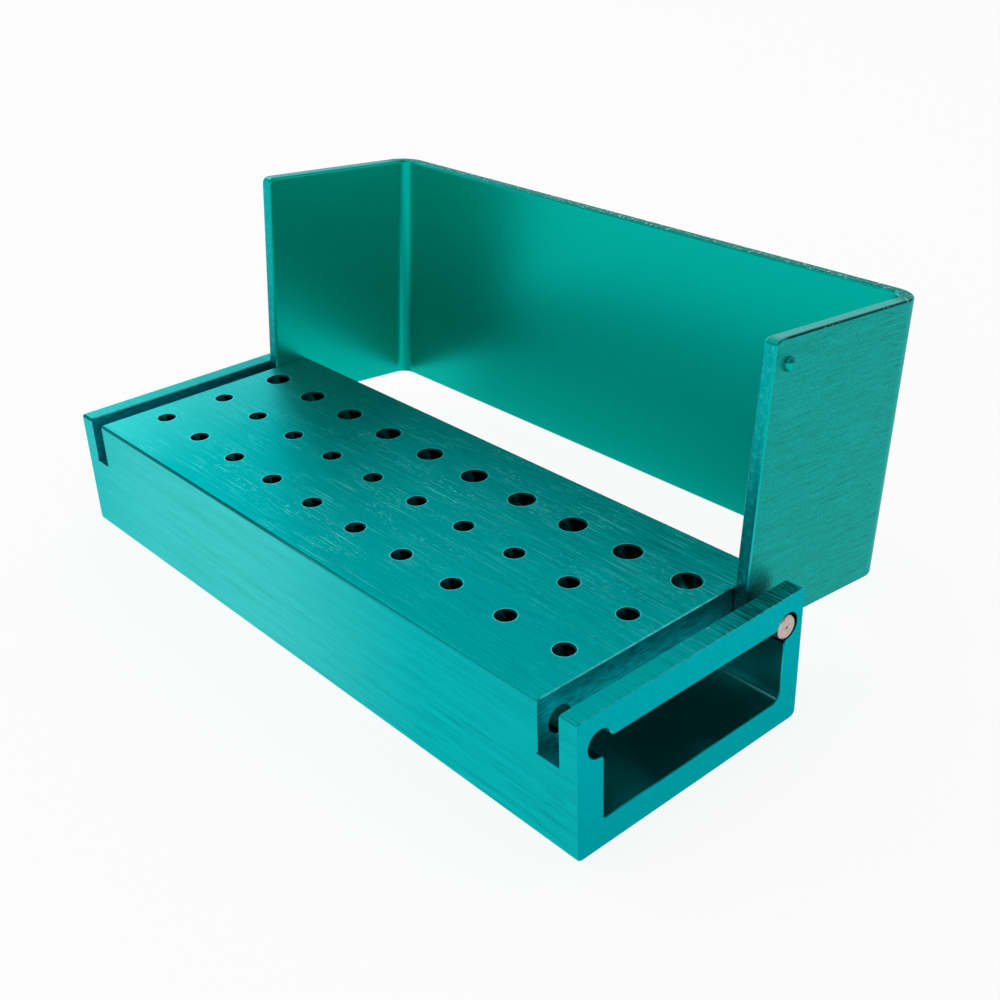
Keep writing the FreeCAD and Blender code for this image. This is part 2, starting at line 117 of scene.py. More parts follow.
def block_zones(tree, spot, facing):
    """Masks of the block's surfaces, because how each was made decides how it took the dye."""
    from_middle = add(tree, "Math", {0: spot[0]}, operation="ABSOLUTE")
    from_row = add(tree, "Math", {0: spot[1]}, operation="ABSOLUTE")
    endways = add(tree, "Math", {0: facing[0]}, operation="ABSOLUTE")
    sideways = add(tree, "Math", {0: facing[1]}, operation="ABSOLUTE")
    upward = add(tree, "MapRange", {"Value": facing[2], "From Min": 0.3, "From Max": 0.9})

    # Saw cuts: the two ends, and the walls and floors of the slots.
    sawn = add(tree, "MapRange", {"Value": endways, "From Min": 0.75, "From Max": 0.95})
    inboard = add(tree, "Math", {0: from_middle, 1: SLOT_OUTER + END_WALL / 2}, operation="LESS_THAN")
    slot_wall = add(tree, "Math", {0: sawn, 1: inboard}, operation="MULTIPLY")
    end_face = add(tree, "Math", {0: sawn, 1: slot_wall}, operation="SUBTRACT")
    slot_floor = add(tree, "Math", {0: spot[2], 1: SLOT_FLOOR, 2: SAME_HEIGHT}, operation="COMPARE")
    slot_floor = add(tree, "Math", {0: slot_floor, 1: upward}, operation="MULTIPLY")
    slot_cut = add(tree, "Math", {0: slot_wall, 1: slot_floor}, operation="MAXIMUM")
    cut = add(tree, "Math", {0: sawn, 1: slot_floor}, operation="MAXIMUM")

    # Under the outer skin: the tunnel as the die left it, the drilled holes and the two channels.
    core_width = add(tree, "Math", {0: from_row, 1: BACK - UNDER_SKIN}, operation="LESS_THAN")
    core_height = add(tree, "Math", {0: spot[2], 1: DECK / 2, 2: DECK / 2 - PAST_BROKEN_EDGE}, operation="COMPARE")
    core = add(tree, "Math", {0: core_width, 1: core_height}, operation="MULTIPLY")
    inside = add(tree, "Math", {0: core, 1: cut, 2: 0.0}, operation="SUBTRACT", use_clamp=True)
    in_rows = add(tree, "Math", {0: from_row, 1: HOLE_ROWS_OUT}, operation="LESS_THAN")
    in_deck = add(tree, "Math", {0: spot[2], 1: DECK - DECK_WALL + 0.1}, operation="GREATER_THAN")
    bore = add(tree, "Math", {0: in_rows, 1: in_deck}, operation="MULTIPLY")
    bore = add(tree, "Math", {0: bore, 1: inside}, operation="MULTIPLY")
    in_channel = add(tree, "Math", {0: from_row, 1: CHANNEL_OUT}, operation="GREATER_THAN")
    high_up = add(tree, "Math", {0: spot[2], 1: CHANNEL_FOOT}, operation="GREATER_THAN")
    channel = add(tree, "Math", {0: in_channel, 1: high_up}, operation="MULTIPLY")
    channel = add(tree, "Math", {0: channel, 1: inside}, operation="MULTIPLY")
    unbrushed = add(tree, "Math", {0: cut, 1: inside}, operation="MAXIMUM")

    # Places on the deck: its right half, the back of it, and the ends' narrow tops outside the slots.
    right_half = add(tree, "MapRange", {"Value": spot[0], "From Min": 4.0, "From Max": 20.0})
    backward = add(tree, "MapRange", {"Value": spot[1], "From Min": FRONT * 0.5, "From Max": BACK * 0.7,
                                      "To Min": 0.1, "To Max": 1.0})
    past_slots = add(tree, "Math", {0: from_middle, 1: SLOT_OUTER}, operation="GREATER_THAN")
    end_bar = add(tree, "Math", {0: upward, 1: past_slots}, operation="MULTIPLY")
    return SimpleNamespace(
        from_middle=from_middle, from_row=from_row, endways=endways, sideways=sideways, upward=upward,
        end_face=end_face, slot_cut=slot_cut, inside=inside, in_rows=in_rows, bore=bore, channel=channel,
        unbrushed=unbrushed, right_half=right_half, backward=backward, end_bar=end_bar)


def belt_lines(tree, place):
    """Belt of about 180 grit: its 0.08 mm lines are too fine for the picture, so they are drawn 0.15 mm wide."""
    return add(tree, "TexNoise", {
        "Vector": add(tree, "VectorMath", {0: place, 1: (1 / 5, 1 / 0.15, 1 / 0.15)}, operation="MULTIPLY"),
        "Scale": 1.0, "Detail": 3.0, "Roughness": 0.65})


def light_marks(tree, place, spot, zone, lines):
    """Where the belt broke through the dye: bright dashes and thin scratches on the deck."""
    # The grits bite in patches about 7 mm long and 3 mm wide.
    patches = add(tree, "TexNoise", {
        "Vector": add(tree, "VectorMath", {0: place, 1: (1 / 7, 1 / 3, 1 / 3)}, operation="MULTIPLY"),
        "Scale": 1.0, "Detail": 1.0})
    bite = add(tree, "MapRange", {"Value": patches, "From Min": 0.42, "From Max": 0.62})
    # Single grits leave dashes 0.9 mm long, drawn 0.15 mm wide.
    dashes = add(tree, "TexNoise", {
        "Vector": add(tree, "VectorMath", {0: place, 1: (1 / 0.9, 1 / 0.15, 1 / 0.15)}, operation="MULTIPLY"),
        "Scale": 1.0, "Detail": 1.0})
    dash_light = add(tree, "MapRange", {"Value": dashes, "From Min": 0.63, "From Max": 0.69})
    # Now and then one is dragged along and leaves a scratch 8 mm long, drawn 0.1 mm wide.
    scratches = add(tree, "TexNoise", {
        "Vector": add(tree, "VectorMath", {0: place, 1: (1 / 8, 1 / 0.1, 1 / 0.1)}, operation="MULTIPLY"),
        "Scale": 1.0, "Detail": 0.0})
    scratch_light = add(tree, "MapRange", {"Value": scratches, "From Min": 0.70, "From Max": 0.78})
    line_light = add(tree, "MapRange", {"Value": lines, "From Min": 0.60, "From Max": 0.67})
    rightward = add(tree, "MapRange", {"Value": spot[0], "From Min": -BLOCK_END, "From Max": BLOCK_END * 0.3,
                                       "To Min": 0.25, "To Max": 1.0})
    marks = add(tree, "Math", {0: dash_light, 1: line_light}, operation="MAXIMUM")
    marks = add(tree, "Math", {0: marks, 1: bite}, operation="MULTIPLY")
    marks = add(tree, "Math", {0: marks, 1: scratch_light}, operation="MAXIMUM")
    marks = add(tree, "Math", {0: marks, 1: rightward}, operation="MULTIPLY")
    # On the deck's right half they keep to the back; the upright sides hardly show them, the cuts not at all.
    back_right = add(tree, "Mix", {0: zone.right_half, 2: 1.0, 3: zone.backward}, data_type="FLOAT")
    marks = add(tree, "Math", {0: marks, 1: back_right}, operation="MULTIPLY")
    seen_above = add(tree, "MapRange", {"Value": zone.upward, "To Min": 0.03, "To Max": 1.0})
    marks = add(tree, "Math", {0: marks, 1: seen_above}, operation="MULTIPLY")
    return add(tree, "Math", {0: marks, 1: zone.unbrushed}, operation="SUBTRACT", use_clamp=True)


def brushed_shade(tree, place, spot, zone, lines):
    """How dark the brushed outside is: the belt's marks, with painted shade along the sides and the deck."""
    # Fine dark streaks on the upright sides, 6 mm long and drawn 0.2 mm wide, more of them low down to the right.
    grooves = add(tree, "TexNoise", {
        "Vector": add(tree, "VectorMath", {0: place, 1: (1 / 6, 1 / 0.2, 1 / 0.2)}, operation="MULTIPLY"),
        "Scale": 1.0, "Detail": 1.0})
    groove = add(tree, "MapRange", {"Value": grooves, "From Min": 0.42, "From Max": 0.30})
    to_right = add(tree, "MapRange", {"Value": spot[0], "From Min": -BLOCK_END, "From Max": BLOCK_END})
    low_down = add(tree, "MapRange", {"Value": spot[2], "From Min": DECK * 1.3, "From Max": 0.0})
    low_right = add(tree, "Math", {0: to_right, 1: low_down}, operation="MULTIPLY")
    groove = add(tree, "Math", {0: groove, 1: low_right}, operation="MULTIPLY")
    groove_shade = add(tree, "MapRange", {"Value": groove, "To Min": 1.0, "To Max": 0.7})

    # The belt's lines are deepest on the deck, at the back of its right half.
    rough_here = add(tree, "Math", {0: zone.right_half, 1: zone.upward}, operation="MULTIPLY")
    rough_here = add(tree, "Math", {0: rough_here, 1: zone.backward}, operation="MULTIPLY")
    line_low = add(tree, "MapRange", {"Value": rough_here, "To Min": 0.9, "To Max": 0.6})
    line_high = add(tree, "MapRange", {"Value": rough_here, "To Min": 1.1, "To Max": 1.42})
    line_shade = add(tree, "MapRange", {"Value": lines, "From Min": 0.3, "From Max": 0.7,
                                        "To Min": line_low, "To Max": line_high})
    # Wider streaks where the belt pressed harder, 30 mm long and 0.8 mm wide.
    streaks = add(tree, "TexNoise", {
        "Vector": add(tree, "VectorMath", {0: place, 1: (1 / 30, 1 / 0.8, 1 / 0.8)}, operation="MULTIPLY"),
        "Scale": 1.0, "Detail": 2.0})
    streak_shade = add(tree, "MapRange", {"Value": streaks, "From Min": 0.3, "From Max": 0.7,
                                          "To Min": 0.95, "To Max": 1.05})

    # Painted shade: the sides darken towards the right end, and the deck and its left end bar towards the left.
    side_painted_shade = add(tree, "MapRange", {"Value": spot[0], "From Max": BLOCK_END, "To Min": 1.0, "To Max": 0.92})
    deck_painted_shade = add(tree, "MapRange", {"Value": spot[0], "From Min": -BLOCK_END * 0.6, "From Max": BLOCK_END,
                                        "To Min": 0.88, "To Max": 1.08})
    left_bar = add(tree, "Math", {0: spot[0], 1: -SLOT_OUTER}, operation="LESS_THAN")
    deck_painted_shade = add(tree, "Mix", {0: left_bar, 2: deck_painted_shade, 3: 0.74}, data_type="FLOAT")
    side_painted_shade = add(tree, "Mix", {0: zone.upward, 2: side_painted_shade, 3: deck_painted_shade}, data_type="FLOAT")
    shade = add(tree, "Math", {0: line_shade, 1: streak_shade}, operation="MULTIPLY")
    shade = add(tree, "Math", {0: shade, 1: groove_shade}, operation="MULTIPLY")
    shade = add(tree, "Math", {0: shade, 1: side_painted_shade}, operation="MULTIPLY")

    # The right end bar was filed across towards the hinge: strong dark and thin light lines, drawn 0.13 mm wide.
    filed = add(tree, "TexNoise", {
        "Vector": add(tree, "VectorMath", {0: place, 1: (1 / 4, 1 / 0.13, 1)}, operation="MULTIPLY"),
        "Scale": 1.0, "Detail": 3.0, "Roughness": 0.75})
    filed_shade = add(tree, "MapRange", {"Value": filed, "From Min": 0.43, "From Max": 0.66,
                                         "To Min": 0.15, "To Max": 1.9})
    towards_hinge = add(tree, "MapRange", {"Value": spot[1], "From Min": -1.0, "From Max": 10.0})
    on_right = add(tree, "Math", {0: spot[0], 1: 0.0}, operation="GREATER_THAN")
    towards_hinge = add(tree, "Math", {0: towards_hinge, 1: on_right}, operation="MULTIPLY")
    filed_here = add(tree, "Math", {0: zone.end_bar, 1: towards_hinge}, operation="MULTIPLY")
    return add(tree, "Mix", {0: filed_here, 2: shade, 3: filed_shade}, data_type="FLOAT")


def saw_chatter(tree, place):
    """A saw's mottled, broken streaks along the slots, 1.3 mm long and 0.16 mm wide."""
    return add(tree, "TexNoise", {
        "Vector": add(tree, "VectorMath", {0: place, 1: (1 / 0.5, 1 / 1.3, 1 / 0.16)}, operation="MULTIPLY"),
        "Scale": 1.0, "Detail": 3.0, "Roughness": 0.7})


def slot_shade(tree, spot, chatter):
    """How dark the slots are: mottled, with painted shade making them darker towards the hinge and painted light
    on the left slot.
    """
    chatter_shade = add(tree, "MapRange", {"Value": chatter, "From Min": 0.35, "From Max": 0.65,
                                           "To Min": 0.55, "To Max": 1.35})
    # Painted shade: darker towards the hinge.
    painted_shade_to_hinge = add(tree, "MapRange", {"Value": spot[1], "From Min": FRONT, "From Max": BACK,
                                   "To Min": 1.0, "To Max": 0.45})
    # Painted light: the left slot is lighter.
    side = add(tree, "MapRange", {"Value": spot[0], "From Min": -SLOT_OUTER, "From Max": SLOT_OUTER,
                                  "To Min": 1.35, "To Max": 1.0})
    shade = add(tree, "Math", {0: chatter_shade, 1: painted_shade_to_hinge}, operation="MULTIPLY")
    return add(tree, "Math", {0: shade, 1: side}, operation="MULTIPLY")


def tunnel_shade(tree, place, zone):
    """How dark the die's skin in the tunnel is: painted reflections in soft patches 9 mm long and 6 mm wide."""
    reflection_patches = add(tree, "TexNoise", {
        "Vector": add(tree, "VectorMath", {0: place, 1: (1 / 9, 1 / 6, 1 / 6)}, operation="MULTIPLY"),
        "Scale": 1.0, "Detail": 0.0})
    painted_reflections = add(tree, "MapRange", {"Value": reflection_patches, "From Min": 0.35, "From Max": 0.65,
                                         "To Min": 0.6, "To Max": 1.4}, interpolation_type="SMOOTHSTEP")
    # Painted light: lighter deep in the tunnel and on its side walls.
    painted_light_deep = add(tree, "MapRange", {"Value": zone.from_middle, "From Min": BLOCK_END, "From Max": BLOCK_END - 16,
                                  "To Min": 0.6, "To Max": 1.9}, interpolation_type="SMOOTHSTEP")
    side_wall_painted_light = add(tree, "MapRange", {"Value": zone.sideways, "From Min": 0.5, "From Max": 0.9,
                                       "To Min": 1.0, "To Max": 2.2})
    shade = add(tree, "Math", {0: painted_reflections, 1: painted_light_deep}, operation="MULTIPLY")
    return add(tree, "Math", {0: shade, 1: side_wall_painted_light}, operation="MULTIPLY")


def end_shade(tree, place, spot):
    """How dark the sawn ends are: even, with a grain of 0.6 mm, and painted light makes them a little lighter at
    the top.
    """
    grain = add(tree, "TexNoise", {"Vector": place, "Scale": 1 / 0.625, "Detail": 3.0, "Roughness": 0.6})
    grain_shade = add(tree, "MapRange", {"Value": grain, "From Min": 0.3, "From Max": 0.7,
                                         "To Min": 0.95, "To Max": 1.05})
    # Painted light: lighter towards the top.
    painted_light_top = add(tree, "MapRange", {"Value": spot[2], "From Max": DECK, "To Min": 0.93, "To Max": 1.1})
    return add(tree, "Math", {0: grain_shade, 1: painted_light_top}, operation="MULTIPLY")


def block_colour_with_painted_light(tree, spot, zone):
    """The colour before any shading: the dye, paler where a painted highlight lies on the front's left half and
    the deck's left end; painted shade makes the sawn ends darker and bluer, and the slots took a bluer dye.
    """
    # Painted highlight: a paler colour over the front's left half and the deck's left end.
    painted_highlight = add(tree, "MapRange", {"Value": spot[0], "From Min": -10.0, "From Max": 25.0,
                                  "To Min": 1.0, "To Max": 0.1}, interpolation_type="SMOOTHSTEP")
    highlight_end_fade = add(tree, "MapRange", {"Value": spot[0], "From Min": -BLOCK_END, "From Max": -BLOCK_END + 14,
                                      "To Min": 0.6, "To Max": 1.0})
    painted_highlight = add(tree, "Math", {0: painted_highlight, 1: highlight_end_fade}, operation="MULTIPLY")
    deck_highlight = add(tree, "MapRange", {"Value": spot[0], "From Min": -19.0, "From Max": -36.0, "To Max": 0.7})
    highlight_here = add(tree, "Mix", {0: zone.upward, 2: painted_highlight, 3: deck_highlight}, data_type="FLOAT")
    dye_and_painted_light = add(tree, "Mix", {0: highlight_here, 6: linear("#00B9BC"), 7: linear("#4CCFCD")}, data_type="RGBA")
    # Painted shade: the sawn ends get a darker, bluer colour.
    dye_and_painted_light = add(tree, "Mix", {0: zone.end_face, 6: dye_and_painted_light, 7: linear("#00A5AE")}, data_type="RGBA")
    return add(tree, "Mix", {0: zone.slot_cut, 6: dye_and_painted_light, 7: linear("#00A2AC")}, data_type="RGBA")


def edge_wear_and_highlights(tree, place, spot, facing, zone):
    """Masks of the edges rubbed almost bare and painted as highlights, and of the painted shade on the broken edge
    at the holes' mouths.
    """
    # Broken edges are rubbed unevenly along their length, and their painted highlight with them.
    steep = add(tree, "Math", {0: zone.endways, 1: facing[2]}, operation="MAXIMUM")
    steep = add(tree, "Math", {0: steep, 1: zone.sideways}, operation="MAXIMUM")
    broken = add(tree, "MapRange", {"Value": steep, "From Min": 0.94, "From Max": 0.8})
    edge_unevenness = add(tree, "TexNoise", {"Vector": place, "Scale": 1.4, "Detail": 2.0})
    edge_strength = add(tree, "MapRange", {"Value": edge_unevenness, "From Min": 0.35, "From Max": 0.65, "To Min": 0.3, "To Max": 0.9})
    edge_wear_and_highlight = add(tree, "Math", {0: broken, 1: edge_strength}, operation="MULTIPLY")
    # Round the tunnel's mouth the rubbed edges and their painted highlight fade towards the front.
    below = add(tree, "MapRange", {"Value": spot[2], "From Min": DECK - 1.0, "From Max": DECK - 2.0})
    mouth_fade = add(tree, "MapRange", {"Value": spot[1], "From Min": -4.0, "From Max": 8.0,
                                        "To Min": 0.25, "To Max": 0.9})
    mouth_fade = add(tree, "Mix", {0: below, 2: 1.0, 3: mouth_fade}, data_type="FLOAT")
    edge_wear_and_highlight = add(tree, "Math", {0: edge_wear_and_highlight, 1: mouth_fade}, operation="MULTIPLY")

    # Painted highlight: a thin light ring round each hole, outside the painted shade on the broken edge of its
    # mouth.
    across = add(tree, "Math", {0: spot[0], 1: HOLE_PITCH, 2: 0.0}, operation="WRAP")
    across = add(tree, "Math", {0: across, 1: HOLE_PITCH / 2}, operation="SUBTRACT")
    along = add(tree, "Math", {0: spot[1], 1: ROW_PITCH / 2, 2: -ROW_PITCH / 2}, operation="WRAP")
    to_hole = add(tree, "CombineXYZ", {"X": across, "Y": along})
    from_hole = add(tree, "VectorMath", {0: to_hole}, operation="LENGTH").outputs["Value"]
    back_row = add(tree, "Math", {0: spot[1], 1: ROW_PITCH / 2}, operation="GREATER_THAN")
    hole_mouth = add(tree, "Mix", {0: back_row, 2: SMALL_MOUTH, 3: LARGE_MOUTH}, data_type="FLOAT")
    from_mouth = add(tree, "Math", {0: from_hole, 1: hole_mouth}, operation="SUBTRACT")
    between_slots = add(tree, "Math", {0: zone.from_middle, 1: SLOT_OUTER - 3}, operation="LESS_THAN")
    at_deck = add(tree, "Math", {0: spot[2], 1: DECK - 0.5}, operation="GREATER_THAN")
    at_deck = add(tree, "Math", {0: at_deck, 1: between_slots}, operation="MULTIPLY")
    at_deck = add(tree, "Math", {0: at_deck, 1: zone.in_rows}, operation="MULTIPLY")
    deck_top = add(tree, "Math", {0: zone.upward, 1: at_deck}, operation="MULTIPLY")
    hole_ring_highlight = add(tree, "Math", {0: from_mouth, 1: RING_OUT, 2: RING_HALF}, operation="COMPARE")
    hole_ring_highlight = add(tree, "Math", {0: hole_ring_highlight, 1: deck_top}, operation="MULTIPLY")
    ring_variation = add(tree, "MapRange", {"Value": edge_unevenness, "From Min": 0.35, "From Max": 0.65,
                                      "To Min": 0.45, "To Max": 1.0})
    hole_ring_highlight = add(tree, "Math", {0: hole_ring_highlight, 1: ring_variation}, operation="MULTIPLY")
    # Painted shade: the broken edge at each hole's mouth is dark.
    painted_mouth_shade = add(tree, "Math", {0: from_mouth, 1: 0.01}, operation="LESS_THAN")
    painted_mouth_shade = add(tree, "Math", {0: painted_mouth_shade, 1: broken}, operation="MULTIPLY")
    painted_mouth_shade = add(tree, "Math", {0: painted_mouth_shade, 1: at_deck}, operation="MULTIPLY")
    edge_wear_and_highlight = add(tree, "Math", {0: edge_wear_and_highlight, 1: painted_mouth_shade}, operation="SUBTRACT", use_clamp=True)

    # The block's long outer corners and the ends' upper rims kept their dye and get no painted highlight.
    worn_lit_edges = add(tree, "Math", {0: zone.from_row, 1: BACK - 0.6}, operation="LESS_THAN")
    upper_rim = add(tree, "Math", {0: zone.from_middle, 1: BLOCK_END - 0.2}, operation="GREATER_THAN")
    upper_rim = add(tree, "Math", {0: upper_rim, 1: zone.upward}, operation="MULTIPLY")
    worn_lit_edges = add(tree, "Math", {0: worn_lit_edges, 1: upper_rim}, operation="SUBTRACT", use_clamp=True)
    edge_wear_and_highlight = add(tree, "Math", {0: edge_wear_and_highlight, 1: worn_lit_edges}, operation="MULTIPLY")
    edge_wear_and_highlight = add(tree, "Math", {0: edge_wear_and_highlight, 1: zone.inside}, operation="SUBTRACT", use_clamp=True)
    edge_wear_and_highlight = add(tree, "Math", {0: edge_wear_and_highlight, 1: hole_ring_highlight}, operation="MAXIMUM")
    return edge_wear_and_highlight, painted_mouth_shade


def tunnel_corner_highlight(tree, facing, zone):
    """Mask of the tunnel's corner between floor and back wall, a painted highlight drawn as a thin light line."""
    corner = add(tree, "Math", {0: facing[2], 1: 0.75, 2: 0.05}, operation="COMPARE")
    corner = add(tree, "Math", {0: corner, 1: zone.inside}, operation="MULTIPLY")
    along_tunnel = add(tree, "Math", {0: zone.endways, 1: 0.3}, operation="LESS_THAN")
    return add(tree, "Math", {0: corner, 1: along_tunnel}, operation="MULTIPLY")


def front_corner_shade(tree, spot, facing):
    """Mask of the deck's rounded edge over the front, painted dark as shade, most of all in its left half."""
    over_front = add(tree, "MapRange", {"Value": facing[1], "From Min": -0.15, "From Max": -0.35})
    rising = add(tree, "MapRange", {"Value": facing[2], "From Min": 0.1, "From Max": 0.3})
    rounded = add(tree, "Math", {0: over_front, 1: rising}, operation="MULTIPLY")
    on_corner = add(tree, "Math", {0: spot[1], 1: FRONT + 1.0}, operation="LESS_THAN")
    rounded = add(tree, "Math", {0: rounded, 1: on_corner}, operation="MULTIPLY")
    left_half = add(tree, "MapRange", {"Value": spot[0], "From Min": 25.0, "From Max": -5.0,
                                       "To Min": 0.1, "To Max": 0.75})
    return add(tree, "Math", {0: rounded, 1: left_half}, operation="MULTIPLY")


def extruded_block_finish():
    """Anodised aluminium extrusion: belt-brushed lengthways, then sawn, slotted and drilled before the dye; some
    of its highlights and shade are painted into its colour.
    """
    finish, tree, place, spot, facing = new_finish("anodised_brushed_extrusion")
    zone = block_zones(tree, spot, facing)
    lines = belt_lines(tree, place)
    chatter = saw_chatter(tree, place)

    shade = brushed_shade(tree, place, spot, zone, lines)
    shade = add(tree, "Mix", {0: zone.slot_cut, 2: shade, 3: slot_shade(tree, spot, chatter)}, data_type="FLOAT")
    shade = add(tree, "Mix", {0: zone.inside, 2: shade, 3: tunnel_shade(tree, place, zone)}, data_type="FLOAT")
    # Painted shade: the channels and the bores are darkened almost to black.
    shade = add(tree, "Mix", {0: zone.channel, 2: shade, 3: 0.1}, data_type="FLOAT")
    shade = add(tree, "Mix", {0: zone.bore, 2: shade, 3: 0.16}, data_type="FLOAT")
    shade = add(tree, "Mix", {0: zone.end_face, 2: shade, 3: end_shade(tree, place, spot)}, data_type="FLOAT")

    edge_wear_and_highlight, painted_mouth_shade = edge_wear_and_highlights(tree, place, spot, facing, zone)
    colour = add(tree, "VectorMath", {0: block_colour_with_painted_light(tree, spot, zone), "Scale": shade}, operation="SCALE")
    # Mixed over it: light marks, the painted shade at the holes' mouths, the rubbed edges with their painted
    # highlight, the painted highlight in the tunnel's corner, and the painted shade along the deck's front edge.
    for mask, tint in (
            (light_marks(tree, place, spot, zone, lines), "#6CF2F2"),
            (painted_mouth_shade, "#004246"),
            (edge_wear_and_highlight, "#66F6F8"),
            (tunnel_corner_highlight(tree, facing, zone), "#86F2F2"),
            (front_corner_shade(tree, spot, facing), "#00484C")):
        colour = add(tree, "Mix", {0: mask, 6: colour, 7: linear(tint)}, data_type="RGBA")

    # The belt left a satin and the saw a duller one, while the drill left the holes almost polished.
    roughness = add(tree, "MapRange", {"Value": lines, "From Min": 0.3, "From Max": 0.7,
                                       "To Min": 0.32, "To Max": 0.42})
    for mask, how_rough in ((zone.slot_cut, 0.5), (zone.inside, 0.4), (zone.bore, 0.17)):
        roughness = add(tree, "Mix", {0: mask, 2: roughness, 3: how_rough}, data_type="FLOAT")
    brushed = add(tree, "Math", {0: 1.0, 1: zone.unbrushed}, operation="SUBTRACT")
    height = add(tree, "Math", {0: lines, 1: brushed}, operation="MULTIPLY")
    height = add(tree, "Math", {0: chatter, 1: zone.slot_cut, 2: height}, operation="MULTIPLY_ADD")
    # Brush lines and saw marks stand 0.005 mm high. The dyed oxide tints the light at grazing angles too.
    relief = add(tree, "Bump", {"Strength": 1.0, "Distance": 0.005 * MM, "Height": height})
    surface = add(tree, "BsdfPrincipled", {"Base Color": colour, "Metallic": 1.0, "Roughness": roughness,
                                           "Specular Tint": linear("#B0FFFF"), "Normal": relief})
    add(tree, "OutputMaterial", {"Surface": surface})
    return finish


# ---------------------------------------------------------------- anodised bent sheet

def sheet_zones(tree, spot, facing):
    """Masks of the lid's surfaces: its outside, its sheared edges, and the painted shadow line under the burr and
    the painted highlight line along them.
    """
    side = add(tree, "Math", {0: spot[0]}, operation="SIGN")
    outward = add(tree, "Math", {0: facing[0], 1: side, 2: facing[1]}, operation="MULTIPLY_ADD")
    outer_face = add(tree, "MapRange", {"Value": outward, "From Min": 0.3, "From Max": 0.7})
    from_middle = add(tree, "Math", {0: spot[0]}, operation="ABSOLUTE")
    on_sheet = add(tree, "Math", {0: from_middle, 1: CHEEK_OUTER + 0.02}, operation="LESS_THAN")

    # Sheared edges: the panel's top, the cheeks' tops and the cheeks' free edges.
    top_edge = add(tree, "MapRange", {"Value": facing[2], "From Min": 0.85, "From Max": 0.97})
    at_panel = add(tree, "MapRange", {"Value": spot[1], "From Min": BEND_FRONT, "From Max": BEND_FRONT + 2})
    panel_top = add(tree, "Math", {0: top_edge, 1: at_panel}, operation="MULTIPLY")
    cheek_top = add(tree, "Math", {0: top_edge, 1: at_panel}, operation="SUBTRACT", use_clamp=True)
    forward = add(tree, "MapRange", {"Value": facing[1], "From Min": -0.8, "From Max": -0.95})
    ahead = add(tree, "Math", {0: spot[1], 1: CHEEK_MIDDLE}, operation="LESS_THAN")
    free_edge = add(tree, "Math", {0: forward, 1: ahead}, operation="MULTIPLY")

    # A painted shadow line lies under the burr along the cheeks' tops, on their outer rims, but not on the rounded
    # corners.
    rising = add(tree, "MapRange", {"Value": facing[2], "From Min": 0.3, "From Max": 0.5})
    at_outside = add(tree, "MapRange", {"Value": from_middle, "From Min": CHEEK_OUTER - 0.36,
                                        "From Max": CHEEK_OUTER - 0.24})
    at_outside = add(tree, "Math", {0: at_outside, 1: on_sheet}, operation="MULTIPLY")
    behind_corner = add(tree, "MapRange", {"Value": spot[1], "From Min": CORNER_BACK,
                                           "From Max": CORNER_BACK + 1.2})
    burr_shadow_line = add(tree, "Math", {0: rising, 1: at_outside}, operation="MULTIPLY")
    burr_shadow_line = add(tree, "Math", {0: burr_shadow_line, 1: behind_corner}, operation="MULTIPLY")

    # Painted highlight: the free edges' outer rims are bright low down.
    turned_ahead = add(tree, "MapRange", {"Value": facing[1], "From Min": -0.3, "From Max": -0.5})
    turned_ahead = add(tree, "Math", {0: turned_ahead, 1: ahead}, operation="MULTIPLY")
    turned_ahead = add(tree, "Math", {0: turned_ahead, 1: on_sheet}, operation="MULTIPLY")
    outer_rim = add(tree, "MapRange", {"Value": from_middle, "From Min": CHEEK_OUTER - 0.2,
                                       "From Max": CHEEK_OUTER - 0.1})
    low_down = add(tree, "MapRange", {"Value": spot[2], "From Min": 26.0, "From Max": 18.0,
                                      "To Min": 0.15, "To Max": 0.9})
    free_edge_highlight = add(tree, "Math", {0: turned_ahead, 1: outer_rim}, operation="MULTIPLY")
    free_edge_highlight = add(tree, "Math", {0: free_edge_highlight, 1: low_down}, operation="MULTIPLY")
    return SimpleNamespace(outer_face=outer_face, top_edge=top_edge, panel_top=panel_top, cheek_top=cheek_top,
                           free_edge=free_edge, burr_shadow_line=burr_shadow_line, free_edge_highlight=free_edge_highlight)


